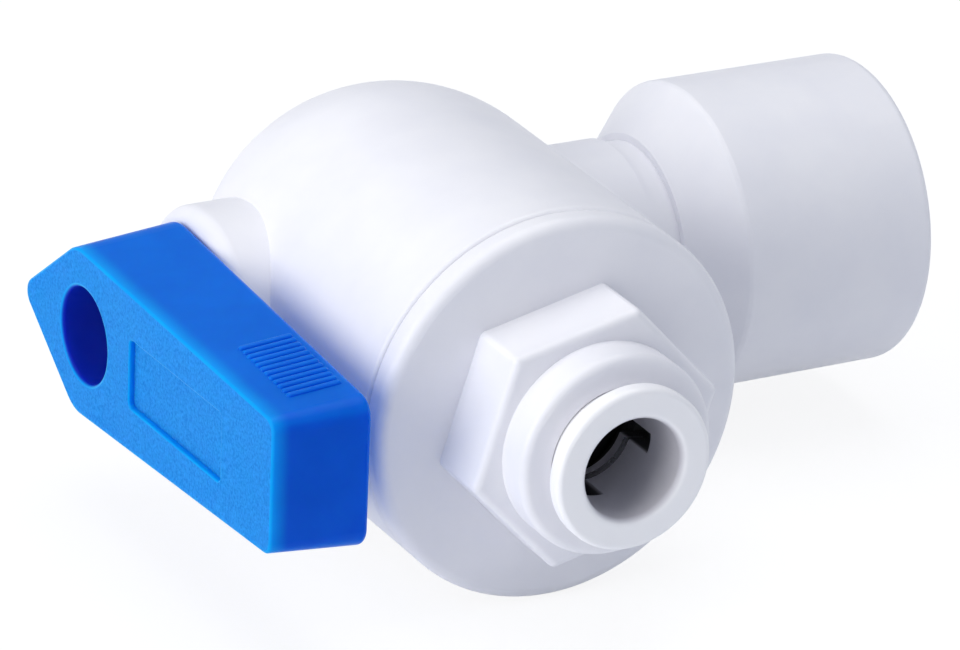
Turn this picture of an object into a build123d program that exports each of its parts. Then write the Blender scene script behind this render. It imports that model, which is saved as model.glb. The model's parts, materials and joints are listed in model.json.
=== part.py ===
"""Angle ball valve for a storage tank: quarter-turn lever, female tank port and push-in tube outlet.

Sizes are millimetres. The stem, tank and outlet axes meet at the ball's centre, where every piece is drawn:
the tank port leaves along +X, the stem and its lever along -X, and the outlet along -Y. The lever points
along the outlet, which is the open position. At the end all pieces move so that the tank port's mouth is the
origin.
"""
import math
import os

from build123d import *

# Tube and tank thread
TUBE_RADIUS = 3.175
TUBE_CLEARANCE = 0.125
THREAD_RADIUS = 6.6
THREAD_DEPTH = 11.0

# Clearances
STATIC_CLEARANCE = 0.05
RUNNING_CLEARANCE = 0.05
SEAT_CLEARANCE = 0.2
COLLET_CLEARANCE = 0.2
LIP_CLEARANCE = 0.08
SEAM_GAP = 0.1

# Ball, seats and flow passage
BALL_RADIUS = 8.0
PORT_RADIUS = 2.6
CHAMBER_GAP = 1.0
SEAT_RADIUS = 6.2
SEAT_BORE = 3.2
SEAT_LENGTH = 3.4
SEAT_BEHIND_BALL = 0.8
SEAT_POCKET_DEPTH = 2.0

# Valve body
BODY_RADIUS = 12.9
BODY_TAPER = 0.2
BODY_WALL = 2.4
BODY_LENGTH = 19.95
DOME_OFFSET = 0.5
RIM_FILLET = 0.35

# Tank port and its neck, distances along +X from the ball's centre
NECK_RADIUS = 7.25
NECK_LENGTH = 15.4
WAIST_RADIUS = 6.85
WAIST_LENGTH = 1.9
CONE_START_RADIUS = 7.35
CONE_LENGTH = 3.2
TANK_RADIUS = 10.4
TANK_LENGTH = 13.95
TANK_RIM_FILLET = 0.6
TANK_SHOULDER_FILLET = 0.5

# Stem boss, stem and seals, distances along -X from the ball's centre
BOSS_RADIUS = 7.15
BOSS_LENGTH = 14.9
BOSS_FILLET = 1.1
STEM_RADIUS = 3.0
STEM_SQUARE = 4.2
STEM_SQUARE_SHORT = 0.3
COLLAR_RADIUS = 4.5
COLLAR_LENGTH = 1.2
COLLAR_GAP = 0.4
COLLAR_POCKET_GAP = 0.4
WASHER_THICKNESS = 0.6
TONGUE_THICKNESS = 2.8
TONGUE_DEPTH = 2.4
STEM_RING_SECTION = 0.5
STEM_RING_SPACING = 1.9
STEM_RING_START = 1.3

# Quarter-turn stop: a lug on the boss runs in an arc groove under the lever
STOP_INNER_RADIUS = 3.8
STOP_WIDTH = 0.9
STOP_HEIGHT = 1.0
STOP_HALF_ANGLE = 11.0
STOP_ANGLE = 225.0
STOP_CLEARANCE = 0.15
STOP_CLEARANCE_ANGLE = 2.0
LEVER_TURN = 90.0

# Lever
LEVER_GAP = 0.1
LEVER_THICKNESS = 7.28
LEVER_FACE_SLOPE = 2.0
LEVER_DRAFT = 4.9
LEVER_REACH = 25.55
LEVER_NOSE = 10.05
LEVER_SHOULDER = 1.65
LEVER_PIVOT_HALF_WIDTH = 6.3
LEVER_END_HALF_WIDTH = 4.95
LEVER_NOSE_ROUND = 1.7
LEVER_SHOULDER_ROUND = 3.4
LEVER_END_ROUND = 1.4
LEVER_FACE_FILLET = 0.2
LEVER_BACK_FILLET = 0.4
PIVOT_HOLE_RADIUS = 3.15
PIVOT_HOLE_DEPTH = 4.8
PIVOT_RIM_FILLET = 0.25
PANEL_START = 6.3
PANEL_LENGTH = 12.25
PANEL_HEIGHT = 4.6
PANEL_CORNER = 0.4
PANEL_DEPTH = 0.4
PANEL_RIM_FILLET = 0.12
RIDGE_COUNT = 12
RIDGE_PITCH = 0.6
RIDGE_RADIUS = 0.24
RIDGE_HEIGHT = 0.18
RIDGE_START = 15.9
RIDGE_WIDTH = 3.2
RIDGE_INSET = 0.9

# Lever screw
SCREW_HEAD_RADIUS = 2.7
SCREW_HEAD_HEIGHT = 1.7
SCREW_SHANK_RADIUS = 1.15
SCREW_LENGTH = 6.0
SCREW_SLOT_WIDTH = 0.6
SCREW_SLOT_LENGTH = 3.0
SCREW_SLOT_DEPTH = 0.9

# Outlet bonnet: flange, hexagon and nose
FLANGE_THICKNESS = 1.85
FLANGE_FILLET = 0.75
HEX_ACROSS_FLATS = 15.0
HEX_LENGTH = 4.55
HEX_ANGLE = 13.0
HEX_FILLET = 0.5
NOSE_RADIUS = 6.6
NOSE_LENGTH = 2.55
NOSE_FILLET = 0.55
TUBE_SOCKET_LENGTH = 5.8
BONNET_RING_SECTION = 0.75
BONNET_RING_INSET = 1.6
RING_GROOVE_SIDE = 0.2

# Push-in collet, its teeth and the tube seal
COLLET_GAP = 1.1
COLLET_RIM_RADIUS = 5.3
COLLET_RIM_THICKNESS = 1.0
COLLET_RIM_FILLET = 0.35
COLLET_MOUTH_FILLET = 0.45
FINGER_RADIUS = 4.55
FINGER_COUNT = 4
FINGER_SLOT = 1.3
FINGER_SLOT_FROM_FACE = 3.9
FINGER_SLOT_ANGLE = -8.0
HEAD_RADIUS = 5.15
HEAD_LENGTH = 1.5
RAMP_LENGTH = 1.8
LIP_LENGTH = 1.5
FINGER_CHAMBER_LENGTH = 3.4
TUBE_RING_SECTION = 0.84
TUBE_RING_SQUEEZE = 0.08
TOOTH_THICKNESS = 0.3
TOOTH_BITE = 0.15
TOOTH_FROM_END = 0.8
TOOTH_ROOT_RADIUS = 4.4
TOOTH_SIDE_ANGLE = 12.0

# Stations along the outlet, from the ball's centre
FLANGE_BACK = BODY_LENGTH + SEAM_GAP
FLANGE_FRONT = FLANGE_BACK + FLANGE_THICKNESS
HEX_FRONT = FLANGE_FRONT + HEX_LENGTH
NOSE_FRONT = HEX_FRONT + NOSE_LENGTH
LIP_BACK = NOSE_FRONT - LIP_LENGTH
RAMP_BACK = LIP_BACK - RAMP_LENGTH
FINGER_CHAMBER_BACK = RAMP_BACK - FINGER_CHAMBER_LENGTH
TUBE_RING_SEAT = FINGER_CHAMBER_BACK - 2 * TUBE_RING_SECTION - RING_GROOVE_SIDE
TUBE_STOP = TUBE_RING_SEAT - TUBE_SOCKET_LENGTH
COLLET_BACK = NOSE_FRONT + COLLET_GAP
COLLET_FRONT = COLLET_BACK + COLLET_RIM_THICKNESS
HEAD_FRONT = RAMP_BACK - 2 * COLLET_CLEARANCE
FINGER_END = HEAD_FRONT - HEAD_LENGTH
SEAT_BACK = BALL_RADIUS + SEAT_BEHIND_BALL
SPIGOT_END = SEAT_BACK - SEAT_POCKET_DEPTH
BONNET_RING_AT = FLANGE_BACK - BONNET_RING_INSET - BONNET_RING_SECTION

# Edges are looked up to this distance
EDGE_TOLERANCE = 1e-3

# Radii that follow from the pieces they take
BODY_RIM_RADIUS = BODY_RADIUS - BODY_TAPER
BODY_BORE = BODY_RIM_RADIUS - BODY_WALL
SPIGOT_RADIUS = BODY_BORE - STATIC_CLEARANCE
CHAMBER_RADIUS = BALL_RADIUS + CHAMBER_GAP
SEAT_POCKET_RADIUS = SEAT_RADIUS + STATIC_CLEARANCE
COLLET_BORE = TUBE_RADIUS + TUBE_CLEARANCE
LIP_RADIUS = FINGER_RADIUS + LIP_CLEARANCE
FINGER_CHAMBER_RADIUS = HEAD_RADIUS + COLLET_CLEARANCE
TUBE_RING_RADIUS = TUBE_RADIUS - TUBE_RING_SQUEEZE + TUBE_RING_SECTION
TUBE_RING_POCKET = TUBE_RING_RADIUS + TUBE_RING_SECTION + STATIC_CLEARANCE
BONNET_RING_RADIUS = SPIGOT_RADIUS - BONNET_RING_SECTION
STEM_HOLE_RADIUS = STEM_RADIUS + RUNNING_CLEARANCE
STEM_RING_RADIUS = STEM_RADIUS - STEM_RING_SECTION

# Stations along the stem and the tank port, from the ball's centre
TONGUE_END = BALL_RADIUS - TONGUE_DEPTH
COLLAR_START = BALL_RADIUS + COLLAR_GAP
COLLAR_END = COLLAR_START + COLLAR_LENGTH
STEM_SEAT = COLLAR_END + WASHER_THICKNESS
LEVER_BACK = BOSS_LENGTH + LEVER_GAP
LEVER_FACE = LEVER_BACK + LEVER_THICKNESS
LEVER_TOP = LEVER_FACE + LEVER_NOSE * math.tan(math.radians(LEVER_FACE_SLOPE))
PIVOT_FLOOR = LEVER_FACE - PIVOT_HOLE_DEPTH
STEM_END = PIVOT_FLOOR - STEM_SQUARE_SHORT
STEM_RING_STATIONS = [STEM_SEAT + STEM_RING_START, STEM_SEAT + STEM_RING_START + STEM_RING_SPACING]
CONE_START = NECK_LENGTH + WAIST_LENGTH
CONE_END = CONE_START + CONE_LENGTH
TANK_MOUTH = CONE_END + TANK_LENGTH
THREAD_END = TANK_MOUTH - THREAD_DEPTH

# Each plane looks along its own axis, away from the ball's centre, with its second direction up
OUTLET = Plane(origin=(0, 0, 0), x_dir=(1, 0, 0), z_dir=(0, -1, 0))
TANK = Plane(origin=(0, 0, 0), x_dir=(0, 1, 0), z_dir=(1, 0, 0))
STEM = Plane(origin=(0, 0, 0), x_dir=(0, -1, 0), z_dir=(-1, 0, 0))

# The lever's outer face, in the stem's own directions: it drops towards the lever's end
LEVER_FACE_PLANE = Plane(Pos(0, 0, LEVER_FACE) * Rot(0, LEVER_FACE_SLOPE, 0))


def turned(*profile):
    """Turns a half section, given as (radius, distance along the axis), about Z."""
    return revolve(Plane.XZ * make_face(Polyline(*profile, close=True)), Axis.Z)


def ring(inner, outer, low, high):
    """Plain ring about Z between two radii and two distances."""
    return turned((inner, low), (outer, low), (outer, high), (inner, high))


def rod(radius, low, high):
    """Plain round bar about Z between two distances."""
    return Pos(0, 0, low) * extrude(Circle(radius), high - low)


def turned_part(start, sweep, *profile):
    """Turns a half section about Z from an angle, counterclockwise, through part of a turn."""
    return Rot(0, 0, start) * revolve(Plane.XZ * make_face(Polyline(*profile, close=True)), Axis.Z, sweep)


def ring_sector(inner, outer, low, high, start, sweep):
    """Part of a ring that begins at an angle and runs on counterclockwise."""
    return turned_part(start, sweep, (inner, low), (outer, low), (outer, high), (inner, high))


def circles_at(solid, distance, radius):
    """Round edges of a turned solid at one distance along Z with one radius."""
    found = []
    for edge in solid.edges().filter_by(GeomType.CIRCLE):
        centre = edge.arc_center
        if abs(centre.Z - distance) < EDGE_TOLERANCE and abs(edge.radius - radius) < EDGE_TOLERANCE:
            found.append(edge)
    return found


def torus_at(radius, section, distance):
    """O-ring about Z, centred at one distance."""
    return Pos(0, 0, distance) * Torus(radius, section)


def valve_body():
    """Domed body, stem boss, neck and tank port, moulded as one piece."""
    barrel = turned(
        (0, -DOME_OFFSET), (BODY_RADIUS, -DOME_OFFSET), (BODY_RIM_RADIUS, BODY_LENGTH), (0, BODY_LENGTH))
    barrel = fillet(circles_at(barrel, BODY_LENGTH, BODY_RIM_RADIUS), RIM_FILLET)
    dome = Pos(0, 0, -DOME_OFFSET) * Sphere(BODY_RADIUS)
    shell = OUTLET * (barrel + dome)

    boss = rod(BOSS_RADIUS, 0, BOSS_LENGTH)
    boss = fillet(circles_at(boss, BOSS_LENGTH, BOSS_RADIUS), BOSS_FILLET)
    stop_low = BOSS_LENGTH - BOSS_FILLET
    stop_high = LEVER_BACK + STOP_HEIGHT
    stop_outer = STOP_INNER_RADIUS + STOP_WIDTH
    stop_start = STOP_ANGLE - STOP_HALF_ANGLE
    stop = ring_sector(STOP_INNER_RADIUS, stop_outer, stop_low, stop_high, stop_start, 2 * STOP_HALF_ANGLE)

    port = turned(
        (0, 0), (NECK_RADIUS, 0), (NECK_RADIUS, NECK_LENGTH), (WAIST_RADIUS, NECK_LENGTH),
        (WAIST_RADIUS, CONE_START), (CONE_START_RADIUS, CONE_START), (TANK_RADIUS, CONE_END),
        (TANK_RADIUS, TANK_MOUTH), (0, TANK_MOUTH))
    port = fillet(circles_at(port, TANK_MOUTH, TANK_RADIUS), TANK_RIM_FILLET)
    port = fillet(circles_at(port, CONE_END, TANK_RADIUS), TANK_SHOULDER_FILLET)

    chamber = turned(
        (0, -SEAT_BACK), (SEAT_POCKET_RADIUS, -SEAT_BACK), (SEAT_POCKET_RADIUS, -SPIGOT_END),
        (CHAMBER_RADIUS, -SPIGOT_END), (CHAMBER_RADIUS, SPIGOT_END - SEAM_GAP),
        (BODY_BORE, SPIGOT_END - SEAM_GAP), (BODY_BORE, BODY_LENGTH + SEAM_GAP), (0, BODY_LENGTH + SEAM_GAP))
    stem_hole = rod(STEM_HOLE_RADIUS, 0, LEVER_FACE) + rod(COLLAR_RADIUS + COLLAR_POCKET_GAP, 0, STEM_SEAT)
    thread_bore = rod(THREAD_RADIUS, THREAD_END, TANK_MOUTH + SEAM_GAP) + rod(PORT_RADIUS, 0, THREAD_END)

    outside = shell + STEM * (boss + stop) + TANK * port
    return outside - OUTLET * chamber - STEM * stem_hole - TANK * thread_bore


def outlet_bonnet():
    """Flange, hexagon and nose in one piece, with the spigot that closes the body and holds a seat."""
    groove_half = BONNET_RING_SECTION + RING_GROOVE_SIDE
    groove_floor = BONNET_RING_RADIUS - BONNET_RING_SECTION - STATIC_CLEARANCE
    spigot = rod(SPIGOT_RADIUS, SPIGOT_END, FLANGE_BACK)
    spigot -= ring(groove_floor, BODY_BORE, BONNET_RING_AT - groove_half, BONNET_RING_AT + groove_half)
    flange = rod(BODY_RIM_RADIUS, FLANGE_BACK, FLANGE_FRONT)
    flange = fillet(circles_at(flange, FLANGE_FRONT, BODY_RIM_RADIUS), FLANGE_FILLET)
    flange = fillet(circles_at(flange, FLANGE_BACK, BODY_RIM_RADIUS), RIM_FILLET)
    hexagon = RegularPolygon(HEX_ACROSS_FLATS / 2, 6, major_radius=False, rotation=HEX_ANGLE)
    nut = Pos(0, 0, FLANGE_FRONT) * extrude(hexagon, HEX_LENGTH)
    nut = fillet(nut.edges().filter_by(Axis.Z) + nut.faces().sort_by(Axis.Z)[-1].edges(), HEX_FILLET)
    nose = rod(NOSE_RADIUS, FLANGE_FRONT, NOSE_FRONT)
    nose = fillet(circles_at(nose, NOSE_FRONT, NOSE_RADIUS), NOSE_FILLET)
    passage = turned(
        (0, SPIGOT_END - SEAM_GAP), (SEAT_POCKET_RADIUS, SPIGOT_END - SEAM_GAP),
        (SEAT_POCKET_RADIUS, SEAT_BACK), (PORT_RADIUS, SEAT_BACK),
        (PORT_RADIUS, TUBE_STOP), (COLLET_BORE, TUBE_STOP),
        (COLLET_BORE, TUBE_RING_SEAT), (TUBE_RING_POCKET, TUBE_RING_SEAT),
        (TUBE_RING_POCKET, FINGER_CHAMBER_BACK), (FINGER_CHAMBER_RADIUS, FINGER_CHAMBER_BACK),
        (FINGER_CHAMBER_RADIUS, RAMP_BACK), (LIP_RADIUS, LIP_BACK), (LIP_RADIUS, NOSE_FRONT + SEAM_GAP),
        (0, NOSE_FRONT + SEAM_GAP))
    return OUTLET * (spigot + flange + nut + nose - passage)


def bonnet_o_ring():
    """Seal between the bonnet's spigot and the body."""
    return OUTLET * torus_at(BONNET_RING_RADIUS, BONNET_RING_SECTION, BONNET_RING_AT)


def ball():
    """L-ported ball: water enters along the stem axis and leaves towards the outlet."""
    inlet = TANK * rod(PORT_RADIUS, 0, BALL_RADIUS)
    outlet = OUTLET * rod(PORT_RADIUS, 0, BALL_RADIUS)
    bend = Sphere(PORT_RADIUS)
    slot_width = TONGUE_THICKNESS + 2 * STATIC_CLEARANCE
    slot_floor = TONGUE_END - STATIC_CLEARANCE
    slot = Box(2 * BALL_RADIUS, slot_width, BALL_RADIUS, align=(Align.CENTER, Align.CENTER, Align.MIN))
    return Sphere(BALL_RADIUS) - inlet - outlet - bend - STEM * Pos(0, 0, slot_floor) * slot


def ball_seat(direction):
    """Seat ring whose hollow face follows the ball."""
    blank = ring(SEAT_BORE, SEAT_RADIUS, SEAT_BACK - SEAT_LENGTH, SEAT_BACK)
    seat = OUTLET * (blank - Sphere(BALL_RADIUS + SEAT_CLEARANCE))
    return seat if direction > 0 else mirror(seat, Plane.XZ)


def stem():
    """Stem with a tongue for the ball, a collar, two seal grooves and a square for the lever."""
    tongue = Box(2 * COLLAR_RADIUS, TONGUE_THICKNESS, COLLAR_START - TONGUE_END)
    tongue = Pos(0, 0, (COLLAR_START + TONGUE_END) / 2) * tongue
    tongue &= rod(COLLAR_RADIUS, TONGUE_END, COLLAR_START)
    shape = tongue + rod(COLLAR_RADIUS, COLLAR_START, COLLAR_END) + rod(STEM_RADIUS, COLLAR_END, LEVER_BACK)
    square = extrude(Rectangle(STEM_SQUARE, STEM_SQUARE), STEM_END - LEVER_BACK)
    shape += Pos(0, 0, LEVER_BACK) * square
    groove_half = STEM_RING_SECTION + STATIC_CLEARANCE
    groove_floor = STEM_RING_RADIUS - groove_half
    for station in STEM_RING_STATIONS:
        shape -= ring(groove_floor, STEM_HOLE_RADIUS, station - groove_half, station + groove_half)
    pilot_end = PIVOT_FLOOR - SCREW_LENGTH - STEM_SQUARE_SHORT
    pilot = rod(SCREW_SHANK_RADIUS + STATIC_CLEARANCE, pilot_end, PIVOT_FLOOR)
    return STEM * (shape - pilot)


def stem_washer():
    """Thrust washer between the stem's collar and the body."""
    return STEM * ring(STEM_HOLE_RADIUS, COLLAR_RADIUS, COLLAR_END, STEM_SEAT)


def stem_o_ring(station):
    """Stem seal in its groove."""
    return STEM * torus_at(STEM_RING_RADIUS, STEM_RING_SECTION, station)


def lever_half_width(distance):
    """Half width of the lever's back at a distance from the pivot towards its end."""
    share = (distance + LEVER_SHOULDER) / (LEVER_REACH + LEVER_SHOULDER)
    return LEVER_PIVOT_HALF_WIDTH + share * (LEVER_END_HALF_WIDTH - LEVER_PIVOT_HALF_WIDTH)


def lever_ridges():
    """Fine finger ridges on one long side: round ribs that lean with the side's draft."""
    tip = Sphere(RIDGE_RADIUS)
    rib = rod(RIDGE_RADIUS, 0, RIDGE_WIDTH) + tip + Pos(0, 0, RIDGE_WIDTH) * tip
    ribs = []
    for step in range(RIDGE_COUNT):
        along = RIDGE_START + step * RIDGE_PITCH
        out = lever_half_width(along) + RIDGE_HEIGHT - RIDGE_RADIUS
        ribs.append(Pos(along, out, LEVER_BACK) * Rot(LEVER_DRAFT, 0, 0) * Pos(0, 0, RIDGE_INSET) * rib)
    return ribs


def lever_blank():
    """Coffin-shaped, drafted block whose outer face slopes, so that the lever thins towards its end."""
    corners = [
        (-LEVER_NOSE, 0, LEVER_NOSE_ROUND),
        (-LEVER_SHOULDER, -LEVER_PIVOT_HALF_WIDTH, LEVER_SHOULDER_ROUND),
        (LEVER_REACH, -LEVER_END_HALF_WIDTH, LEVER_END_ROUND),
        (LEVER_REACH, LEVER_END_HALF_WIDTH, LEVER_END_ROUND),
        (-LEVER_SHOULDER, LEVER_PIVOT_HALF_WIDTH, LEVER_SHOULDER_ROUND)]
    outline = make_face(Polyline(*[(along, across) for along, across, _ in corners], close=True))
    for along, across, radius in corners:
        outline = fillet(outline.vertices().sort_by_distance((along, across))[0], radius)
    block = Pos(0, 0, LEVER_BACK) * extrude(outline, LEVER_TOP - LEVER_BACK, taper=LEVER_DRAFT)
    length = 2 * (LEVER_NOSE + LEVER_REACH)
    waste = Box(length, length, LEVER_THICKNESS, align=(Align.CENTER, Align.CENTER, Align.MIN))
    block -= LEVER_FACE_PLANE * waste
    block = fillet(block.faces().sort_by(Axis.Z)[-1].edges(), LEVER_FACE_FILLET)
    return fillet(block.faces().sort_by(Axis.Z)[0].edges(), LEVER_BACK_FILLET)


def on_panel_rim(edge):
    """Whether an edge of the lever bounds the sunken panel on the outer face."""
    spot = LEVER_FACE_PLANE.to_local_coords(edge.center())
    beside = abs(spot.X - PANEL_START - PANEL_LENGTH / 2) - PANEL_LENGTH / 2
    above = abs(spot.Y) - PANEL_HEIGHT / 2
    return max(abs(spot.Z), beside, above) < EDGE_TOLERANCE


def lever():
    """Lever with a screw well at the pivot, a sunken panel, finger ridges and a groove for the stop lug."""
    ridges = lever_ridges()
    shape = lever_blank() + ridges + [mirror(ridge, Plane.XZ) for ridge in ridges]

    shape -= rod(PIVOT_HOLE_RADIUS, PIVOT_FLOOR, LEVER_TOP)
    shape = fillet(shape.edges().sort_by_distance((0, 0, LEVER_FACE))[0], PIVOT_RIM_FILLET)
    square_hole = STEM_SQUARE + 2 * STATIC_CLEARANCE
    shape -= Pos(0, 0, LEVER_BACK - SEAM_GAP) * extrude(Rectangle(square_hole, square_hole), LEVER_THICKNESS)
    panel = extrude(RectangleRounded(PANEL_LENGTH, PANEL_HEIGHT, PANEL_CORNER), PANEL_DEPTH + SEAM_GAP)
    shape -= LEVER_FACE_PLANE * Pos(PANEL_START + PANEL_LENGTH / 2, 0, -PANEL_DEPTH) * panel
    shape = fillet(shape.edges().filter_by(on_panel_rim), PANEL_RIM_FILLET)
    groove_inner = STOP_INNER_RADIUS - STOP_CLEARANCE
    groove_outer = STOP_INNER_RADIUS + STOP_WIDTH + STOP_CLEARANCE
    groove_top = LEVER_BACK + STOP_HEIGHT + STOP_CLEARANCE
    groove_half = STOP_HALF_ANGLE + STOP_CLEARANCE_ANGLE
    groove_start = STOP_ANGLE - LEVER_TURN - groove_half
    groove_sweep = LEVER_TURN + 2 * groove_half
    shape -= ring_sector(
        groove_inner, groove_outer, LEVER_BACK - SEAM_GAP, groove_top, groove_start, groove_sweep)
    return STEM * shape


def lever_screw():
    """Pan-head screw at the bottom of the lever's well, with a cross recess."""
    top = PIVOT_FLOOR + SCREW_HEAD_HEIGHT
    head = rod(SCREW_HEAD_RADIUS, PIVOT_FLOOR, top)
    head = fillet(circles_at(head, top, SCREW_HEAD_RADIUS), SCREW_HEAD_HEIGHT / 2)
    shank = rod(SCREW_SHANK_RADIUS, PIVOT_FLOOR - SCREW_LENGTH, PIVOT_FLOOR)
    slot = Box(SCREW_SLOT_LENGTH, SCREW_SLOT_WIDTH, 2 * SCREW_SLOT_DEPTH)
    cross = Pos(0, 0, top) * (slot + Rot(0, 0, 90) * slot)
    return STEM * (head + shank - cross)


def tooth_pocket():
    """Ring cut out of the finger heads to take the grip teeth."""
    low = FINGER_END + TOOTH_FROM_END - STATIC_CLEARANCE
    high = FINGER_END + TOOTH_FROM_END + TOOTH_THICKNESS + STATIC_CLEARANCE
    return ring(COLLET_BORE - TOOTH_BITE, TOOTH_ROOT_RADIUS + STATIC_CLEARANCE, low, high)


def collet():
    """Release collet: rim, sleeve and slotted fingers with barbed heads."""
    shape = turned(
        (COLLET_BORE, FINGER_END), (HEAD_RADIUS, FINGER_END), (HEAD_RADIUS, HEAD_FRONT),
        (FINGER_RADIUS, HEAD_FRONT + RAMP_LENGTH), (FINGER_RADIUS, COLLET_BACK),
        (COLLET_RIM_RADIUS, COLLET_BACK), (COLLET_RIM_RADIUS, COLLET_FRONT), (COLLET_BORE, COLLET_FRONT))
    shape = fillet(circles_at(shape, COLLET_FRONT, COLLET_RIM_RADIUS), COLLET_RIM_FILLET)
    shape = fillet(circles_at(shape, COLLET_FRONT, COLLET_BORE), COLLET_MOUTH_FILLET)
    slot_length = COLLET_FRONT - FINGER_SLOT_FROM_FACE - FINGER_END
    slot = Box(HEAD_RADIUS, FINGER_SLOT, slot_length, align=(Align.MIN, Align.CENTER, Align.MIN))
    for step in range(FINGER_COUNT):
        turn = FINGER_SLOT_ANGLE + step * 360 / FINGER_COUNT
        shape -= Rot(0, 0, turn) * Pos(0, 0, FINGER_END) * slot
    return OUTLET * (shape - tooth_pocket())


def grip_teeth():
    """Steel grip teeth, one in each finger's head, with a sharp edge that lets a tube in but not out."""
    pitch = 360 / FINGER_COUNT
    low = FINGER_END + TOOTH_FROM_END
    high = low + TOOTH_THICKNESS
    tip = COLLET_BORE - TOOTH_BITE
    teeth = []
    for step in range(FINGER_COUNT):
        start = FINGER_SLOT_ANGLE + step * pitch + TOOTH_SIDE_ANGLE
        sweep = pitch - 2 * TOOTH_SIDE_ANGLE
        tooth = turned_part(
            start, sweep, (tip, low), (TOOTH_ROOT_RADIUS, low), (TOOTH_ROOT_RADIUS, high),
            (tip + TOOTH_THICKNESS, high))
        teeth.append(OUTLET * tooth)
    return Compound(children=teeth)


def tube_o_ring():
    """Seal that grips the tube behind the collet."""
    station = (TUBE_RING_SEAT + FINGER_CHAMBER_BACK) / 2
    return OUTLET * torus_at(TUBE_RING_RADIUS, TUBE_RING_SECTION, station)


PIECES = {
    "valve_body": valve_body(),
    "outlet_bonnet": outlet_bonnet(),
    "bonnet_o_ring": bonnet_o_ring(),
    "ball": ball(),
    "front_seat": ball_seat(1),
    "rear_seat": ball_seat(-1),
    "stem": stem(),
    "stem_washer": stem_washer(),
    "stem_o_ring_inner": stem_o_ring(STEM_RING_STATIONS[0]),
    "stem_o_ring_outer": stem_o_ring(STEM_RING_STATIONS[1]),
    "lever": lever(),
    "lever_screw": lever_screw(),
    "collet": collet(),
    "grip_teeth": grip_teeth(),
    "tube_o_ring": tube_o_ring(),
}

os.makedirs("parts", exist_ok=True)
for name, piece in PIECES.items():
    export_step(Pos(-TANK_MOUTH, 0, 0) * piece, f"parts/{name}.step")
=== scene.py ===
"""Looks of the storage tank valve: white moulded body, blue lever, push-in outlet and threaded tank port."""
import json
import math

import bpy
from mathutils import Matrix, Vector


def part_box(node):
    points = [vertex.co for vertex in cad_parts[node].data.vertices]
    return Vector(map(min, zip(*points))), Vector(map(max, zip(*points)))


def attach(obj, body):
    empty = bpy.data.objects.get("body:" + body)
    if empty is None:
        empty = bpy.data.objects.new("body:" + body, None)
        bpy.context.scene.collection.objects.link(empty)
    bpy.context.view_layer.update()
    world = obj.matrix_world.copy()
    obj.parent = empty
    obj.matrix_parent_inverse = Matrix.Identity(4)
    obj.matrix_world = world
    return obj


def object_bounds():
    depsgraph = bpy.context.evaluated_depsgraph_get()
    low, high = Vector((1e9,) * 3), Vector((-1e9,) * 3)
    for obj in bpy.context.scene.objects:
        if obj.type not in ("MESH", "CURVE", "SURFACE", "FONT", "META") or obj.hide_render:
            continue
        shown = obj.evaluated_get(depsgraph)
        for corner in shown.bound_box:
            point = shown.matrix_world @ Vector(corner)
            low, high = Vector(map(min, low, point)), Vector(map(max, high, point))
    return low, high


MM = 0.001

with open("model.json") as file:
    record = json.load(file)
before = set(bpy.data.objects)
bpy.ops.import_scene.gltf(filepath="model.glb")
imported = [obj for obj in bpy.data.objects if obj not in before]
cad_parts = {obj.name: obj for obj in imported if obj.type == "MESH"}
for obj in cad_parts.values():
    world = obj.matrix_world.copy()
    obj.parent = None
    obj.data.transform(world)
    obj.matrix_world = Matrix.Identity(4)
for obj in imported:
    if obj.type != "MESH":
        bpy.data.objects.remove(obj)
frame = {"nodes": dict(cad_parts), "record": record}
cad_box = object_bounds()
nodes = frame["nodes"]

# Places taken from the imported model, in metres
JOINTS = {joint["name"]: joint for joint in frame["record"]["behaviour"]["joints"]}
MOUNTS = {mount["name"]: mount for mount in frame["record"]["mounts"]}
BALL_CENTRE = Vector(JOINTS["lever_turn"]["pos_m"])
TANK_MOUTH = Vector(MOUNTS["tank_port"]["pos_m"])
THREAD_RADIUS = MOUNTS["tank_port"]["dims"]["r_mm"] * MM
THREAD_DEPTH = MOUNTS["tank_port"]["dims"]["length_mm"] * MM
BORE_RADIUS = MOUNTS["tube_port"]["dims"]["r_mm"] * MM

# Where the painted shade inside the outlet and in the collet's bore starts, measured from the ball's centre,
# and the soft edge of its colours
NOSE_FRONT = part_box("outlet_bonnet")[0][1] - BALL_CENTRE.y
COLLET_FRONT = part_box("collet")[0][1] - BALL_CENTRE.y
CHAMBER_RADIUS = 5.5 * MM
BORE_RIM = 0.3 * MM

# The lever's sloping outer face, the width of the painted glow along its edge, and its screw well, which is
# painted darker as shade
LEVER_FACE = 22.28 * MM
LEVER_FACE_SLOPE = math.radians(2.0)
LEVER_EDGE_GLOW_WIDTH = 1.3 * MM
WELL_RADIUS = 3.16 * MM
WELL_RIM = 0.16 * MM

# Sides of the lever, told apart by how far their normals lean: wholly that side, and no longer that side
LEVER_FACE_NORMAL = (-0.990, -0.980)
LEVER_END_NORMAL = (-0.995, -0.80)
LEVER_BACK_NORMAL = (0.99, 0.90)

# Tank thread: quarter-inch taper pipe pitch, with the ridge standing inwards from the bore
THREAD_PITCH = 1.411 * MM
THREAD_HEIGHT = 1.0 * MM
THREAD_CREST = 0.12 * MM
THREAD_ROOT = 1.2 * MM
THREAD_SINK = 0.05 * MM
THREAD_FROM_MOUTH = 0.3 * MM
THREAD_FROM_FLOOR = 0.02 * MM
THREAD_MERGE = 0.0001 * MM
THREAD_FADE_TURNS = 0.75
THREAD_STEPS_PER_TURN = 96
THREAD_SMOOTH_ANGLE = math.radians(35)

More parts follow.
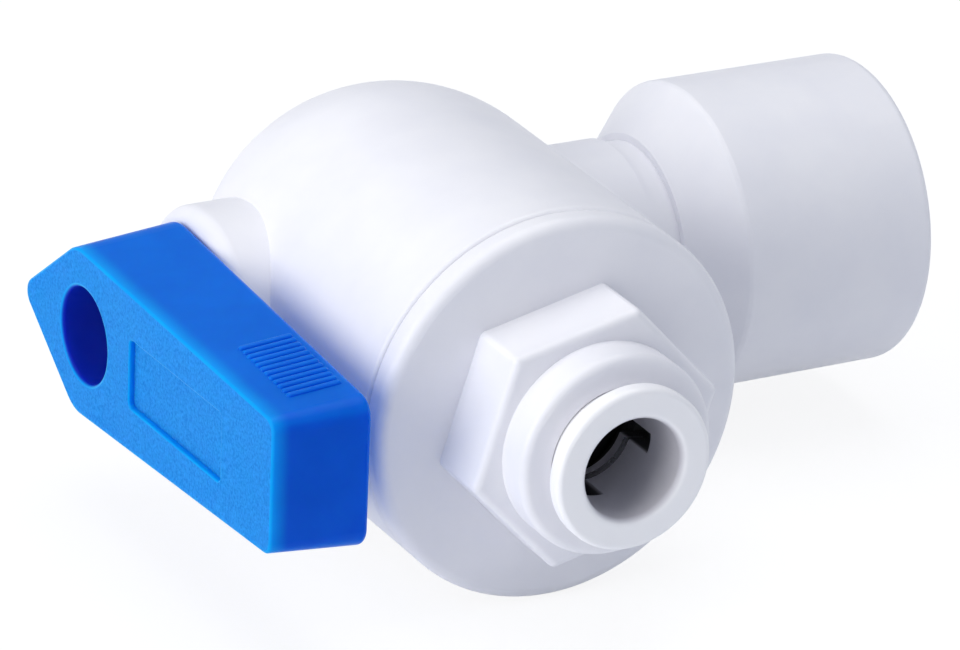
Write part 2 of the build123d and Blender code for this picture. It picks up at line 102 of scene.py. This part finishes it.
# Colours, each from its darkest to its lightest shade
BODY_SHADES = ((0.84, 0.838, 0.89), (0.88, 0.876, 0.915))
COLLET_SHADES = ((0.93, 0.925, 0.955), (0.96, 0.955, 0.98))
# Painted shade: the collet's bore is coloured grey, as the shade inside it
BORE_PAINTED_SHADE = ((0.60, 0.59, 0.64), (0.64, 0.63, 0.68))
# Painted shade: the outlet's inside behind the nose's front ring is coloured nearly black, as the shade in it
CHAMBER_PAINTED_SHADE = ((0.10, 0.098, 0.105), (0.13, 0.128, 0.135))
INNER_SHADES = ((0.82, 0.82, 0.80), (0.88, 0.88, 0.86))
LEVER_SIDE_SHADES = ((0.002, 0.126, 0.63), (0.003, 0.148, 0.69))
# Painted light: a lighter, greener blue along the outer face's edge, standing in for light carried through
# the plastic there
LEVER_EDGE_GLOW_SHADES = ((0.002, 0.275, 0.73), (0.003, 0.310, 0.78))
# Painted shade: the end face is a darker blue, as it faces away from the light
LEVER_END_PAINTED_SHADE = ((0.002, 0.090, 0.60), (0.003, 0.106, 0.66))
LEVER_FACE_SHADES = ((0.003, 0.176, 0.60), (0.024, 0.285, 0.77))
# Painted shade: the screw well is a deeper blue, as the shade in it
LEVER_WELL_PAINTED_SHADE = ((0.005, 0.022, 0.43), (0.007, 0.028, 0.49))
# Painted light: the inner face is a brighter blue, standing in for the blue light the lever passes onto the
# body
LEVER_BACK_PAINTED_GLOW = ((0.002, 0.215, 0.92), (0.003, 0.240, 0.96))
RUBBER_SHADES = ((0.010, 0.010, 0.011), (0.024, 0.024, 0.026))
SCREW_SHADES = ((0.50, 0.51, 0.53), (0.66, 0.67, 0.69))
# Painted shade: the grip teeth are near-black steel, as the shade deep in the outlet
TOOTH_PAINTED_SHADE = ((0.06, 0.06, 0.065), (0.10, 0.10, 0.105))

# Roughness, from the smoothest spots to the roughest
BODY_ROUGHNESS = (0.40, 0.52)
COLLET_ROUGHNESS = (0.34, 0.44)
INNER_ROUGHNESS = (0.25, 0.35)
LEVER_ROUGHNESS = (0.30, 0.38)
LEVER_GRAIN_ROUGHNESS = 0.22
RUBBER_ROUGHNESS = (0.28, 0.45)
STEEL_ROUGHNESS = (0.22, 0.38)

# Noise on the surfaces, in cycles per metre, and the noise values that shades and roughness run between
WHITE_CLOUD = 220
WHITE_RIPPLE = 700
WHITE_SKIN = 5200
LEVER_CLOUD = 260
LEVER_GRAIN = 5200
RUBBER_BLOOM = 2400
SCREW_MARKS = 3000
TOOTH_MARKS = 5000
NOISE_LOW = 0.3
NOISE_HIGH = 0.7

# Drawn steel's marks are long along X
STEEL_STRETCH = (0.15, 1.0, 1.0)

# The Mix node's colour sockets
MIX_FIRST = 6
MIX_SECOND = 7
MIX_RESULT = 2

# Floor and room; the floor shows mostly plain white to the camera and in reflections
FLOOR_SIZE = 6.0
FLOOR_COLOUR = (0.90, 0.915, 0.95, 1)
FLOOR_ROUGHNESS = 0.9
FLOOR_WHITE = 1.08
FLOOR_WHITE_SHARE = 0.8
ROOM_COLOUR = (0.81, 0.87, 1.0, 1)
ROOM_STRENGTH = 0.41

# The photograph's camera, looking at a point beside the ball's centre
PHOTO_WIDTH = 960
CAMERA_AZIMUTH = math.radians(-29.15)
CAMERA_ELEVATION = math.radians(23.58)
CAMERA_ROLL = math.radians(2.6)
CAMERA_DISTANCE = 353.4 * MM
CAMERA_RIGHT = 5.3 * MM
CAMERA_UP = -2.77 * MM
CAMERA_FOCAL_PIXELS = 5459
CAMERA_SENSOR = 36.0
CAMERA_NEAR = 0.01
CAMERA_FAR = 20


def deselect_all():
    """Leaves edit mode and clears the selection."""
    if bpy.context.object and bpy.context.object.mode != "OBJECT":
        bpy.ops.object.mode_set(mode="OBJECT")
    bpy.ops.object.select_all(action="DESELECT")


def activate(piece):
    """Makes one piece the only selected object."""
    deselect_all()
    piece.select_set(True)
    bpy.context.view_layer.objects.active = piece


def apply_modifier(piece, kind, **settings):
    """Adds a modifier with its settings and applies it."""
    activate(piece)
    modifier = piece.modifiers.new(kind.lower(), kind)
    for name, value in settings.items():
        setattr(modifier, name, value)
    bpy.ops.object.modifier_apply(modifier=modifier.name)


class Paint:
    """A node material under construction: one Principled shader and helpers that add nodes to it."""

    def __init__(self, name):
        self.material = bpy.data.materials.new(name)
        self.material.use_nodes = True
        self.tree = self.material.node_tree
        self.shader = self.tree.nodes["Principled BSDF"]
        self.coordinates = self.tree.nodes.new("ShaderNodeTexCoord")
        self.place = self.coordinates.outputs["Object"]

    def node(self, kind, **settings):
        """Adds a node with its own settings."""
        made = self.tree.nodes.new(kind)
        for name, value in settings.items():
            setattr(made, name, value)
        return made

    def link(self, source, target):
        """Joins two sockets."""
        self.tree.links.new(source, target)

    def feed(self, source, name):
        """Joins a socket to one of the shader's own."""
        self.link(source, self.shader.inputs[name])

    def set(self, **values):
        """Sets the shader's own constant sockets, named with underscores for spaces."""
        for name, value in values.items():
            self.shader.inputs[name.replace("_", " ")].default_value = value

    def noise(self, scale, detail=3.0, roughness=0.55):
        """Noise over the object's own coordinates; scale is in cycles per metre."""
        made = self.node("ShaderNodeTexNoise")
        made.inputs["Scale"].default_value = scale
        made.inputs["Detail"].default_value = detail
        made.inputs["Roughness"].default_value = roughness
        self.link(self.place, made.inputs["Vector"])
        return made.outputs["Fac"]

    def ramp(self, value, start, stop, low, high, kind):
        """Maps a value's span onto a range."""
        made = self.node("ShaderNodeMapRange", interpolation_type=kind)
        made.inputs["From Min"].default_value = start
        made.inputs["From Max"].default_value = stop
        made.inputs["To Min"].default_value = low
        made.inputs["To Max"].default_value = high
        self.link(value, made.inputs["Value"])
        return made.outputs["Result"]

    def spread(self, noise, low, high):
        """Maps noise onto a range."""
        return self.ramp(noise, NOISE_LOW, NOISE_HIGH, low, high, "LINEAR")

    def fall(self, value, start, stop):
        """Runs smoothly from 1 at the start of a span to 0 at its stop."""
        return self.ramp(value, start, stop, 1.0, 0.0, "SMOOTHSTEP")

    def rise(self, value, start, stop):
        """Runs smoothly from 0 at the start of a span to 1 at its stop."""
        return self.ramp(value, start, stop, 0.0, 1.0, "SMOOTHSTEP")

    def product(self, first, second):
        """Two values multiplied."""
        made = self.node("ShaderNodeMath", operation="MULTIPLY")
        self.link(first, made.inputs[0])
        self.link(second, made.inputs[1])
        return made.outputs[0]

    def tint(self, noise, shades):
        """Colour that runs from a dark to a light shade with noise."""
        made = self.node("ShaderNodeValToRGB")
        for element, position, shade in zip(made.color_ramp.elements, (NOISE_LOW, NOISE_HIGH), shades):
            element.position = position
            element.color = (*shade, 1)
        self.link(noise, made.inputs["Fac"])
        return made.outputs["Color"]

    def mix(self, share, first, second):
        """Blend of two colours."""
        made = self.node("ShaderNodeMix", data_type="RGBA")
        self.link(share, made.inputs["Factor"])
        self.link(first, made.inputs[MIX_FIRST])
        self.link(second, made.inputs[MIX_SECOND])
        return made.outputs[MIX_RESULT]

    def from_centre(self):
        """Place on the part, measured from the ball's centre."""
        made = self.node("ShaderNodeMapping")
        made.inputs["Location"].default_value = -BALL_CENTRE
        self.link(self.place, made.inputs["Vector"])
        return made.outputs[0]

    def along(self, vector, axis):
        """One of a vector's parts, X, Y or Z."""
        made = self.node("ShaderNodeSeparateXYZ")
        self.link(vector, made.inputs[0])
        return made.outputs[axis]

    def axis_distance(self, place, kept):
        """Distance from an axis through the ball's centre; kept has 0 along the axis and 1 across it."""
        across = self.node("ShaderNodeVectorMath", operation="MULTIPLY")
        across.inputs[1].default_value = kept
        self.link(place, across.inputs[0])
        made = self.node("ShaderNodeVectorMath", operation="LENGTH")
        self.link(across.outputs[0], made.inputs[0])
        return made.outputs["Value"]

    def facing(self, axis, start, stop):
        """1 on faces whose normal along an axis reaches the start, 0 on those short of the stop."""
        return self.fall(self.along(self.coordinates.outputs["Normal"], axis), start, stop)

    def inside(self, radius, front):
        """1 within a radius of the outlet's axis and behind a front, 0 elsewhere, with soft edges."""
        place = self.from_centre()
        near = self.fall(self.axis_distance(place, (1, 0, 1)), radius, radius + BORE_RIM)
        return self.product(near, self.rise(self.along(place, "Y"), front, front + BORE_RIM))

    def bump(self, height, distance, strength, below=None):
        """Bump from a height field, stacked on another bump where one is given."""
        made = self.node("ShaderNodeBump")
        made.inputs["Strength"].default_value = strength
        made.inputs["Distance"].default_value = distance
        self.link(height, made.inputs["Height"])
        if below:
            self.link(below, made.inputs["Normal"])
        return made.outputs["Normal"]


def white_plastic(name, shades, roughness, painted_chamber_shade=None, bore=None):
    """Moulded white plastic: faint clouding, soft sheen and a fine skin.

    Where given, the outlet's inside behind the nose's front ring and the collet's bore take darker colours of
    their own, as painted shade.
    """
    paint = Paint(name)
    cloud = paint.noise(WHITE_CLOUD, detail=4)
    skin = paint.noise(WHITE_SKIN, detail=2)
    ripple = paint.noise(WHITE_RIPPLE)
    colour = paint.tint(cloud, shades)
    # Painted shade: the outlet's inside behind the nose's front ring is darkened as the shade there
    if painted_chamber_shade:
        inside = paint.inside(CHAMBER_RADIUS, NOSE_FRONT)
        colour = paint.mix(inside, colour, paint.tint(cloud, painted_chamber_shade))
    # Painted shade: the collet's bore is darkened as the shade inside it
    if bore:
        inside = paint.inside(BORE_RADIUS, COLLET_FRONT - BORE_RIM)
        colour = paint.mix(inside, colour, paint.tint(cloud, bore))
    soft = paint.bump(ripple, distance=0.02 * MM, strength=0.25)
    paint.feed(colour, "Base Color")
    paint.feed(paint.spread(ripple, *roughness), "Roughness")
    paint.feed(paint.bump(skin, distance=0.01 * MM, strength=0.2, below=soft), "Normal")
    paint.set(IOR=1.49, Specular_IOR_Level=0.45)
    paint.set(Subsurface_Weight=0.12, Subsurface_Scale=0.8 * MM, Subsurface_Radius=(1.0, 0.95, 0.9))
    return paint.material


def lever_colour(paint, cloud, grain, flat):
    """The lever's blues: sides and grained outer face, with painted light and shade: a glow along the outer
    face's edge, a darker end face and screw well, and a brighter inner face.
    """
    place = paint.from_centre()
    lean = paint.node("ShaderNodeVectorRotate", rotation_type="Z_AXIS")
    lean.inputs["Angle"].default_value = -LEVER_FACE_SLOPE
    paint.link(place, lean.inputs["Vector"])
    edge_glow = paint.fall(paint.along(lean.outputs[0], "X"), -LEVER_FACE, LEVER_EDGE_GLOW_WIDTH - LEVER_FACE)
    well = paint.fall(paint.axis_distance(place, (0, 1, 1)), WELL_RADIUS, WELL_RADIUS + WELL_RIM)
    end = paint.facing("Y", *LEVER_END_NORMAL)
    back = paint.facing("X", *LEVER_BACK_NORMAL)

    colour = paint.tint(cloud, LEVER_SIDE_SHADES)
    # Painted shade on the end face
    colour = paint.mix(end, colour, paint.tint(cloud, LEVER_END_PAINTED_SHADE))
    # Painted light on the inner face
    colour = paint.mix(back, colour, paint.tint(cloud, LEVER_BACK_PAINTED_GLOW))
    # Painted glow along the outer face's edge
    colour = paint.mix(edge_glow, colour, paint.tint(cloud, LEVER_EDGE_GLOW_SHADES))
    colour = paint.mix(flat, colour, paint.tint(grain, LEVER_FACE_SHADES))
    # Painted shade in the screw well
    return paint.mix(well, colour, paint.tint(cloud, LEVER_WELL_PAINTED_SHADE))


def blue_plastic():
    """Lever plastic: deep blue that carries light inside it.

    The flat outer face is grained and the sides are smooth. The sides are painted lighter along that face's
    edge as a glow, the end face and the screw well are painted darker as shade, and the inner face is painted
    brighter, standing in for the blue light it throws on the body.
    """
    paint = Paint("blue_lever_plastic")
    grain = paint.noise(LEVER_GRAIN, detail=2, roughness=0.6)
    cloud = paint.noise(LEVER_CLOUD)
    flat = paint.facing("X", *LEVER_FACE_NORMAL)
    rough = paint.node("ShaderNodeMath", operation="MULTIPLY_ADD")
    paint.link(flat, rough.inputs[0])
    rough.inputs[1].default_value = LEVER_GRAIN_ROUGHNESS
    paint.link(paint.spread(cloud, *LEVER_ROUGHNESS), rough.inputs[2])
    height = paint.product(grain, flat)
    soft = paint.bump(cloud, distance=0.03 * MM, strength=0.2)
    paint.feed(lever_colour(paint, cloud, grain, flat), "Base Color")
    paint.feed(rough.outputs[0], "Roughness")
    paint.feed(paint.bump(height, distance=0.03 * MM, strength=0.5, below=soft), "Normal")
    paint.set(IOR=1.5, Specular_IOR_Level=0.07)
    paint.set(Subsurface_Weight=0.9, Subsurface_Scale=1.6 * MM, Subsurface_Radius=(0.03, 0.6, 1.0))
    return paint.material


def black_rubber():
    """Greased seal rubber with a fine moulded bloom."""
    paint = Paint("black_seal_rubber")
    bloom = paint.noise(RUBBER_BLOOM)
    paint.feed(paint.tint(bloom, RUBBER_SHADES), "Base Color")
    paint.feed(paint.spread(bloom, *RUBBER_ROUGHNESS), "Roughness")
    paint.feed(paint.bump(bloom, distance=0.01 * MM, strength=0.3), "Normal")
    paint.set(IOR=1.5)
    return paint.material


def drawn_steel(name, scale, shades):
    """Steel with fine drawn marks."""
    paint = Paint(name)
    stretch = paint.node("ShaderNodeMapping")
    stretch.inputs["Scale"].default_value = STEEL_STRETCH
    paint.link(paint.place, stretch.inputs["Vector"])
    paint.place = stretch.outputs["Vector"]
    marks = paint.noise(scale)
    paint.feed(paint.tint(marks, shades), "Base Color")
    paint.feed(paint.spread(marks, *STEEL_ROUGHNESS), "Roughness")
    paint.feed(paint.bump(marks, distance=0.005 * MM, strength=0.3), "Normal")
    paint.set(Metallic=1.0)
    return paint.material


def dress(material, *names):
    """Gives CAD nodes a material."""
    for name in names:
        mesh = nodes[name].data
        if mesh.materials:
            mesh.materials[0] = material
        else:
            mesh.materials.append(material)


def tank_thread(material):
    """Helical thread ridge inside the tank port, fading into the bore's wall at both ends."""
    deselect_all()
    bpy.ops.mesh.primitive_plane_add(size=1.0, location=(0, 0, 0))
    ridge = bpy.context.object
    ridge.name = "tank_thread"
    start = TANK_MOUTH.x - THREAD_DEPTH + THREAD_FROM_FLOOR
    length = THREAD_DEPTH - THREAD_FROM_FLOOR - THREAD_FROM_MOUTH
    turns = length / THREAD_PITCH
    steps = round(turns * THREAD_STEPS_PER_TURN)
    root = THREAD_RADIUS + THREAD_SINK
    crest = THREAD_RADIUS - THREAD_HEIGHT
    section = [
        (start - THREAD_ROOT / 2, root), (start + THREAD_ROOT / 2, root),
        (start - THREAD_CREST / 2, crest), (start + THREAD_CREST / 2, crest)]
    order = sorted(ridge.data.vertices, key=lambda vertex: (-vertex.co.y, vertex.co.x))
    for vertex, (along, radius) in zip(order, section):
        vertex.co = (along, 0, radius)
    apply_modifier(
        ridge, "SCREW", axis="X", angle=turns * math.tau, screw_offset=length, iterations=1, steps=steps,
        render_steps=steps, use_merge_vertices=False, use_normal_calculate=True)

    fade_steps = THREAD_FADE_TURNS * THREAD_STEPS_PER_TURN
    for vertex in ridge.data.vertices:
        step = vertex.index // len(section)
        share = min(step, steps - step, fade_steps) / fade_steps
        centre = start + length * step / steps
        along, across, up = vertex.co
        radius = math.hypot(across, up)
        scale = (root + (radius - root) * share) / radius
        vertex.co = (centre + (along - centre) * share, across * scale, up * scale)
    activate(ridge)
    bpy.ops.object.mode_set(mode="EDIT")
    bpy.ops.mesh.select_all(action="SELECT")
    bpy.ops.mesh.remove_doubles(threshold=THREAD_MERGE)
    bpy.ops.mesh.normals_make_consistent(inside=False)
    bpy.ops.object.mode_set(mode="OBJECT")
    bpy.ops.object.shade_smooth_by_angle(angle=THREAD_SMOOTH_ANGLE)
    ridge.data.materials.append(material)
    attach(ridge, "valve")


def pale_floor():
    """Floor at the valve's lowest point, which shows white to the camera and keeps a faint shadow."""
    deselect_all()
    bpy.ops.mesh.primitive_plane_add(size=FLOOR_SIZE, location=(0, 0, cad_box[0][2]))
    floor = bpy.context.object
    floor.name = "floor"
    material = bpy.data.materials.new("pale_floor")
    material.use_nodes = True
    tree = material.node_tree
    shader = tree.nodes["Principled BSDF"]
    shader.inputs["Base Color"].default_value = FLOOR_COLOUR
    shader.inputs["Roughness"].default_value = FLOOR_ROUGHNESS
    white = tree.nodes.new("ShaderNodeEmission")
    white.inputs["Color"].default_value = (1, 1, 1, 1)
    white.inputs["Strength"].default_value = FLOOR_WHITE
    rays = tree.nodes.new("ShaderNodeLightPath")
    seen = tree.nodes.new("ShaderNodeMath")
    seen.operation = "MAXIMUM"
    tree.links.new(rays.outputs["Is Camera Ray"], seen.inputs[0])
    tree.links.new(rays.outputs["Is Glossy Ray"], seen.inputs[1])
    share = tree.nodes.new("ShaderNodeMath")
    share.operation = "MULTIPLY"
    share.inputs[1].default_value = FLOOR_WHITE_SHARE
    tree.links.new(seen.outputs[0], share.inputs[0])
    mix = tree.nodes.new("ShaderNodeMixShader")
    tree.links.new(share.outputs[0], mix.inputs["Fac"])
    tree.links.new(shader.outputs[0], mix.inputs[1])
    tree.links.new(white.outputs[0], mix.inputs[2])
    tree.links.new(mix.outputs[0], tree.nodes["Material Output"].inputs["Surface"])
    floor.data.materials.append(material)


def lamp(name, offset, size, power, colour):
    """Square soft lamp, placed from the ball's centre and aimed at it."""
    data = bpy.data.lights.new(name, "AREA")
    data.shape = "SQUARE"
    data.size = size
    data.energy = power
    data.color = colour
    made = bpy.data.objects.new(name, data)
    bpy.context.collection.objects.link(made)
    made.location = BALL_CENTRE + Vector(offset)
    made.rotation_euler = (-Vector(offset)).to_track_quat("-Z", "Y").to_euler()


def even_room():
    """Bright even room around the valve."""
    world = bpy.data.worlds.new("studio_room")
    bpy.context.scene.world = world
    world.use_nodes = True
    background = world.node_tree.nodes["Background"]
    background.inputs["Color"].default_value = ROOM_COLOUR
    background.inputs["Strength"].default_value = ROOM_STRENGTH


def photo_camera():
    """Camera that sees the valve as the photograph does."""
    level = math.cos(CAMERA_ELEVATION)
    back = Vector((
        math.sin(CAMERA_AZIMUTH) * level, -math.cos(CAMERA_AZIMUTH) * level, math.sin(CAMERA_ELEVATION)))
    flat_right = Vector((math.cos(CAMERA_AZIMUTH), math.sin(CAMERA_AZIMUTH), 0))
    flat_up = back.cross(flat_right)
    right = math.cos(CAMERA_ROLL) * flat_right + math.sin(CAMERA_ROLL) * flat_up
    up = math.cos(CAMERA_ROLL) * flat_up - math.sin(CAMERA_ROLL) * flat_right
    data = bpy.data.cameras.new("photo_camera")
    data.sensor_width = CAMERA_SENSOR
    data.lens = CAMERA_FOCAL_PIXELS / PHOTO_WIDTH * CAMERA_SENSOR
    data.clip_start = CAMERA_NEAR
    data.clip_end = CAMERA_FAR
    camera = bpy.data.objects.new("photo_camera", data)
    bpy.context.collection.objects.link(camera)
    camera.rotation_euler = Matrix((right, up, back)).transposed().to_euler()
    camera.location = BALL_CENTRE + back * CAMERA_DISTANCE + right * CAMERA_RIGHT + up * CAMERA_UP
    bpy.context.scene.camera = camera


# The valve's pieces
body_white = white_plastic("white_body_plastic", BODY_SHADES, BODY_ROUGHNESS)
bonnet_white = white_plastic("white_bonnet_plastic", BODY_SHADES, BODY_ROUGHNESS, painted_chamber_shade=CHAMBER_PAINTED_SHADE)
collet_white = white_plastic(
    "white_collet_plastic", COLLET_SHADES, COLLET_ROUGHNESS, painted_chamber_shade=CHAMBER_PAINTED_SHADE, bore=BORE_PAINTED_SHADE)
inner_white = white_plastic("white_inner_plastic", INNER_SHADES, INNER_ROUGHNESS)

dress(body_white, "valve_body")
dress(bonnet_white, "outlet_bonnet")
dress(collet_white, "collet")
dress(inner_white, "ball", "stem", "front_seat", "rear_seat", "stem_washer")
dress(black_rubber(), "bonnet_o_ring", "stem_o_ring_inner", "stem_o_ring_outer", "tube_o_ring")
dress(blue_plastic(), "lever")
dress(drawn_steel("bright_screw_steel", SCREW_MARKS, SCREW_SHADES), "lever_screw")
# Grip teeth in near-black steel as painted shade
dress(drawn_steel("spring_tooth_steel_painted_shade", TOOTH_MARKS, TOOTH_PAINTED_SHADE), "grip_teeth")
tank_thread(body_white)

# The studio around it
pale_floor()
lamp("key", offset=(-0.43, -0.08, 0.15), size=0.30, power=1.26, colour=(1.0, 0.99, 0.95))
lamp("top", offset=(0.01, 0.04, 0.45), size=0.40, power=1.06, colour=(1.0, 0.99, 0.97))
lamp("fill", offset=(0.40, -0.20, 0.0), size=0.25, power=0.18, colour=(0.93, 0.96, 1.0))
even_room()
photo_camera()

bpy.context.scene.view_settings.view_transform = "Standard"
